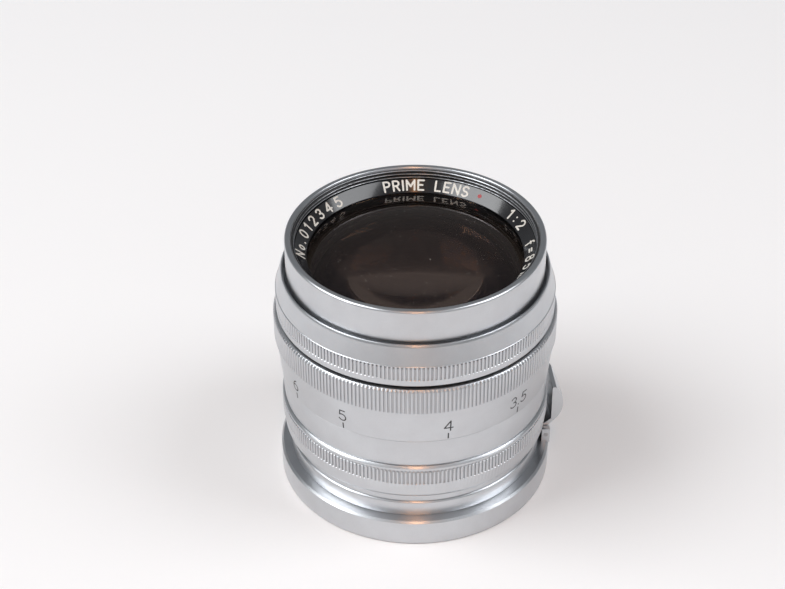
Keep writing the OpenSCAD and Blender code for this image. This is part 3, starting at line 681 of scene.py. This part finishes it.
def makeFocusRing():
    low, high = heights("focus_ring")
    bore, outer = radii("focus_ring")
    lowOuter = radii("focus_ring", low - 0.05, low + 0.05)[1]
    wide = radii("focus_ring", low - 0.05, low + 0.05)[0]
    seat = high - 1
    knurlLow = high - focusLook["knurl"]
    scaleTop = outer - focusLook["scaleTop"]
    corners = [
        (wide, low, 0, 0), (lowOuter, low, 0.06, 0), (scaleTop, knurlLow, 0, 0),
        (outer - 0.05, knurlLow + 0.02, 0, 0.83), (outer, knurlLow + 0.12, 0, 1),
        (outer, high - focusLook["edge"], 0.06, 1), (outer - focusLook["edge"], high, 0.06, 0),
        (bore, high, 0.08, 0), (bore, seat, 0, 0), (wide, seat, 0, 0),
    ]
    makeKnurledRing("focusRing", corners, focusLook["teeth"], focusLook["cut"], "focus", ["focus_ring"])


makeFocusRing()
print("focus ring made")


# fixed barrel and grip ring

barrelLook = {"round": 0.3, "neck": 2.3, "neckWall": 0.7, "undercut": 0.5}
gripLook = {
    "teeth": 214, "cut": 0.2, "knurlLow": 3.7, "knurlTop": 6.75, "ditch": 0.24, "shoulder": 7.1,
    "foot": 0.55,
}


def makeBarrel():
    low, high = heights("fixed_barrel")
    gripLow, gripTop = heights("grip_ring")
    bore = radii("fixed_barrel", high - 0.05)[0]
    neckBore, foot = radii("fixed_barrel", low - 0.05, gripLow - 0.2)
    neckOuter = radii("fixed_barrel", gripLow - 0.1, gripLow + 0.05)[0] + barrelLook["neckWall"]
    neck = neckOuter - barrelLook["undercut"]
    wall = radii("grip_ring")[0] - 0.05
    bandLow = gripTop
    bandLowOuter = radii("fixed_barrel", bandLow - 0.05, bandLow + 0.3)[1]
    bandTopOuter = radii("fixed_barrel", high - 0.05)[1]
    neckTop = gripLow - barrelLook["neck"]
    step = gripLow + 0.4
    big = barrelLook["round"]
    corners = [
        (neckBore, low, 0, 0), (foot - 0.15, low, 0.1, 0), (foot, low + 0.9, 0.5, 0),
        (foot, neckTop - big, 0.1, 0), (foot - big, neckTop, 0.1, 0), (neck, neckTop - 0.1, 0, 0),
        (neck, gripLow, 0, 0), (wall, gripLow, 0, 0), (wall, bandLow, 0, 0),
        (bandLowOuter - 0.12, bandLow, 0.08, 0), (bandLowOuter, bandLow + 0.35, 0.1, 0),
        (bandTopOuter, high, 0.06, 0), (bore, high, 0, 0), (bore, step, 0, 0), (neckBore, step, 0, 0),
    ]
    makeRing("fixedBarrel", corners, finishes["satin_chrome"], "barrel", ["fixed_barrel"])


def makeGripRing():
    low, high = heights("grip_ring")
    bore, outer = radii("grip_ring")
    lowOuter = radii("grip_ring", low - 0.05, low + 0.05)[1]
    knurlLow = low + gripLook["knurlLow"]
    knurlTop = low + gripLook["knurlTop"]
    shoulder = low + gripLook["shoulder"]
    ditch = outer - gripLook["ditch"]
    corners = [
        (bore, low, 0, 0), (lowOuter - 0.3, low, 0.08, 0), (lowOuter + 0.05, low + gripLook["foot"], 0.3, 0),
        (outer - 0.02, knurlLow - 0.08, 0, 0), (outer, knurlLow, 0, 0.8), (outer, knurlLow + 0.12, 0, 1),
        (outer, knurlTop - 0.1, 0, 1), (ditch, knurlTop, 0, 0), (ditch, shoulder, 0, 0),
        (outer, shoulder + 0.08, 0.04, 0), (outer, high - 0.4, 0.06, 0),
        (outer - 0.4, high, 0.05, 0), (bore, high, 0, 0),
    ]
    makeKnurledRing("gripRing", corners, gripLook["teeth"], gripLook["cut"], "barrel", ["grip_ring"])


makeBarrel()
makeGripRing()
print("barrel and grip made")


# name ring, with white lettering cut in its cone

nameRing = {
    "letterHeight": 2.05, "pen": 0.185, "middle": 0.5, "dot": (54.5, 0.42),  # bearing and pen
    "words": [  # bearing of the middle and the turn that each fills
        ("No.012345", 160.0, 55.0), ("PRIME LENS", 84.0, 45.0), ("1:2", 26.0, 13.5), ("f=85mm", 346.0, 38.0),
    ],
}


def onCone(bearing, radius, height, tilt):
    # the inside of a cone seen from above: reads clockwise, with the tops of the letters outwards
    def place(u, v, w):
        reach = radius + v * math.cos(tilt) - w * math.sin(tilt)
        theta = math.radians(bearing) - u / radius
        rise = v * math.sin(tilt) + w * math.cos(tilt)
        return (reach * math.cos(theta), reach * math.sin(theta), height + rise)
    return place


def filling(text, height, span):  # the space between letters that makes a word fill its span
    letters = sum(glyphs[letter][0] for letter in text) * height
    return (span - letters) / (len(text) - 1) / height


def makeNameRing():
    low, high = heights("name_ring")
    inner, outer = radii("name_ring")
    lipTop = low + 0.3
    seat = radii("name_ring", low - 0.05, low + 0.05)[1]
    corners = [
        (inner, low, 0, 0), (seat, low, 0, 0), (seat, low + ringFlange, 0, 0),
        (outer, low + ringFlange, 0, 0),
        (outer, high - 0.06, 0, 0), (outer - 0.05, high - 0.05, 0, 0), (inner, lipTop, 0.04, 0),
    ]
    makeRing("nameRing", corners, finishes["black_enamel"], "head", ["name_ring"])
    tilt = math.atan2(high - 0.05 - lipTop, outer - 0.05 - inner)
    slant = math.hypot(high - lipTop, outer - inner)
    size = nameRing["letterHeight"]
    start = (slant - size) * nameRing["middle"] + 0.06
    radius = inner + start * math.cos(tilt)
    height = lipTop + start * math.sin(tilt)
    for order, (text, bearing, span) in enumerate(nameRing["words"]):
        spacing = filling(text, size, math.radians(span) * radius)
        strokes = letterStrokes(text, size, spacing)
        place = onCone(bearing, radius, height, tilt)
        makeInlay("ringLetters.%d" % order, strokes, place, nameRing["pen"], whiteInk, "head")
    bearing, dot = nameRing["dot"]
    strokes = [[(-0.02, size / 2), (0.02, size / 2)]]
    makeInlay("redDot", strokes, onCone(bearing, radius, height, tilt), dot, redInk, "head")


makeNameRing()
print("name ring made")


# scales

focusScale = {
    "index": 90.0, "focalLength": 85.0, "travel": 8.13, "turn": 227.0, "foot": 304.8, "start": 0.45,
    "digit": 2.55, "tick": 1.25, "gap": 0.75, "pen": 0.13, "spacing": 0.22,
    "marks": [None, 30, 20, 15, 12, 10, 8, 6, 5, 4, 3.5],
}
stopScale = {
    "stops": [2, 2.8, 4, 5.6, 8, 11, 16], "start": 0.35, "digit": 1.5, "tick": 0.9, "gap": 0.45,
    "pen": 0.085, "spacing": 0.22, "bladePivot": 20.6, "open": 14.0, "turnRatio": 0.49421,
}
depthScale = {
    "stops": [4, 8, 16], "turnPerStop": 0.93, "digit": 1.35, "tick": 1.9, "gap": 0.55, "top": 0.25,
    "pen": 0.085, "spacing": 0.22,
}
indexes = {
    "focus": 3.6, "focusTop": 0.25, "focusPen": 0.14,
    "aperture": 1.6, "apertureLow": 0.5, "aperturePen": 0.16,
}


def tick(length, low=0.0):
    return [[(0.0, low), (0.0, low + length)]]


def raised(strokes, lift):
    return [[(u, v + lift) for u, v in stroke] for stroke in strokes]


def focusBearing(feet):  # how far round the mark for a distance stands
    if feet is None:
        return focusScale["index"]
    distance = feet * focusScale["foot"]
    focal = focusScale["focalLength"]
    image = (distance - math.sqrt(distance ** 2 - 4 * focal * distance)) / 2
    return focusScale["index"] + (image - focal) * focusScale["turn"] / focusScale["travel"]


def makeFocusScale():
    low, high = heights("focus_ring")
    outer = radii("focus_ring")[1]
    knurlLow = high - focusLook["knurl"]
    lowRadius = radii("focus_ring", low - 0.05, low + 0.05)[1]
    slope = (outer - focusLook["scaleTop"] - lowRadius) / (knurlLow - low)
    start = low + focusScale["start"]
    lift = focusScale["tick"] + focusScale["gap"]
    for order, feet in enumerate(focusScale["marks"]):
        place = onWall(focusBearing(feet), start, lowRadius, low, slope)
        text = "~" if feet is None else "%g" % feet
        strokes = raised(letterStrokes(text, focusScale["digit"], focusScale["spacing"]), lift)
        strokes += tick(focusScale["tick"])
        makeInlay("feet.%02d" % order, strokes, place, focusScale["pen"], blackInk, "focus")


def makeStopScale():
    low, high = heights("aperture_ring")
    topRadius = radii("aperture_ring", high - 0.3, high - 0.1)[1] + 0.12
    outer = radii("aperture_ring")[1] - apertureLook["step"]
    bandLow = low + apertureLook["land"] + apertureLook["knurl"] + 0.1
    slope = (topRadius - outer) / (high - 0.42 - bandLow)
    widest = stopScale["stops"][0]
    for order, stop in enumerate(stopScale["stops"]):
        closing = stopScale["open"] * (1 - widest / stop)  # how far the blades' edge moves in
        swing = 2 * math.degrees(math.asin(closing / (2 * stopScale["bladePivot"])))
        bearing = focusScale["index"] - swing / stopScale["turnRatio"]
        place = onWall(bearing, bandLow + stopScale["start"], outer, bandLow, slope)
        strokes = letterStrokes("%g" % stop, stopScale["digit"], stopScale["spacing"])
        strokes += tick(stopScale["tick"], stopScale["digit"] + stopScale["gap"])
        makeInlay("stops.%d" % order, strokes, place, stopScale["pen"], blackInk, "aperture")


def makeIndexes():
    low, high = heights("fixed_barrel")
    band = heights("grip_ring")[1]
    lowRadius = radii("fixed_barrel", band - 0.05, band + 0.3)[1]
    highRadius = radii("fixed_barrel", high - 0.05)[1]
    slope = (highRadius - lowRadius) / (high - band)
    top = high - depthScale["tick"] - depthScale["top"]
    index = focusScale["index"]
    place = onWall(index, high - indexes["focus"] - indexes["focusTop"], lowRadius, band, slope)
    makeInlay("focusIndex", tick(indexes["focus"]), place, indexes["focusPen"], blackInk, "barrel")
    drop = -depthScale["digit"] - depthScale["gap"]
    for stop in depthScale["stops"]:
        for side in (-1, 1):
            name = "depth.%d.%s" % (stop, "left" if side > 0 else "right")
            place = onWall(index + side * depthScale["turnPerStop"] * stop, top, lowRadius, band, slope)
            strokes = raised(letterStrokes("%d" % stop, depthScale["digit"], depthScale["spacing"]), drop)
            strokes += tick(depthScale["tick"])
            makeInlay(name, strokes, place, depthScale["pen"], blackInk, "barrel")
    rimLow = heights("aperture_ring")[1] + indexes["apertureLow"]
    rimRadius = radii("filter_rim", rimLow, heights("filter_rim")[1] - rim["edge"])[1]
    place = onWall(index, rimLow, rimRadius, rimLow)
    makeInlay("apertureIndex", tick(indexes["aperture"]), place, indexes["aperturePen"], blackInk, "head")


makeFocusScale()
makeStopScale()
makeIndexes()
print("scales made")


# the rest of the metal: every edge of a turned or milled part is broken

edges = {  # bevel width in millimetres
    "bayonet_ring": 0.16, "release_lever": 0.14, "lens_head": 0.1, "front_cell": 0.06,
    "triplet_cell": 0.06, "rear_cell": 0.06, "rear_retainer": 0.05, "triplet_retainer": 0.05,
    "iris_base": 0.05, "iris_drive_ring": 0.05, "coupling_ring": 0.05, "focus_sleeve": 0.05,
    "focus_key": 0.08,
}
sharpEdge = 35  # degrees between two faces
ownFinishes = {"release_lever": leverChrome, "front_element": dustyGlass}


def breakEdges():
    for node, width in edges.items():
        bevel = frame["nodes"][node].modifiers.new("edges", "BEVEL")
        bevel.width = width * mm
        bevel.segments = 2
        bevel.limit_method = "ANGLE"
        bevel.angle_limit = math.radians(sharpEdge)
        bevel.harden_normals = True


breakEdges()
for node, finish in ownFinishes.items():
    frame["nodes"][node].data.materials[0] = finish
print("edges broken")


# floor

paper = {"half": 3.0, "dark": rgb(0.885, 0.885, 0.89), "light": rgb(0.90, 0.90, 0.90), "roughness": 0.75}


def makeFloor():
    paint = Paint("paper")
    fibre = paint.noise(1.4, 4.0)
    surface = {
        "Base Color": paint.mix(fibre, paper["dark"], paper["light"]),
        "Roughness": paper["roughness"] + fibre * 0.1,
        "Normal": paint.bump(fibre, 0.01, 0.2),
    }
    material = paint.finish(paint.add("ShaderNodeBsdfPrincipled", {}, surface))
    mesh = bpy.data.meshes.new("floor")
    half = paper["half"]
    corners = [(-half, -half, 0), (half, -half, 0), (half, half, 0), (-half, half, 0)]
    mesh.from_pydata(corners, [], [(0, 1, 2, 3)])
    mesh.materials.append(material)
    floor = bpy.data.objects.new("floor", mesh)
    bpy.context.scene.collection.objects.link(floor)


makeFloor()
print("floor made")
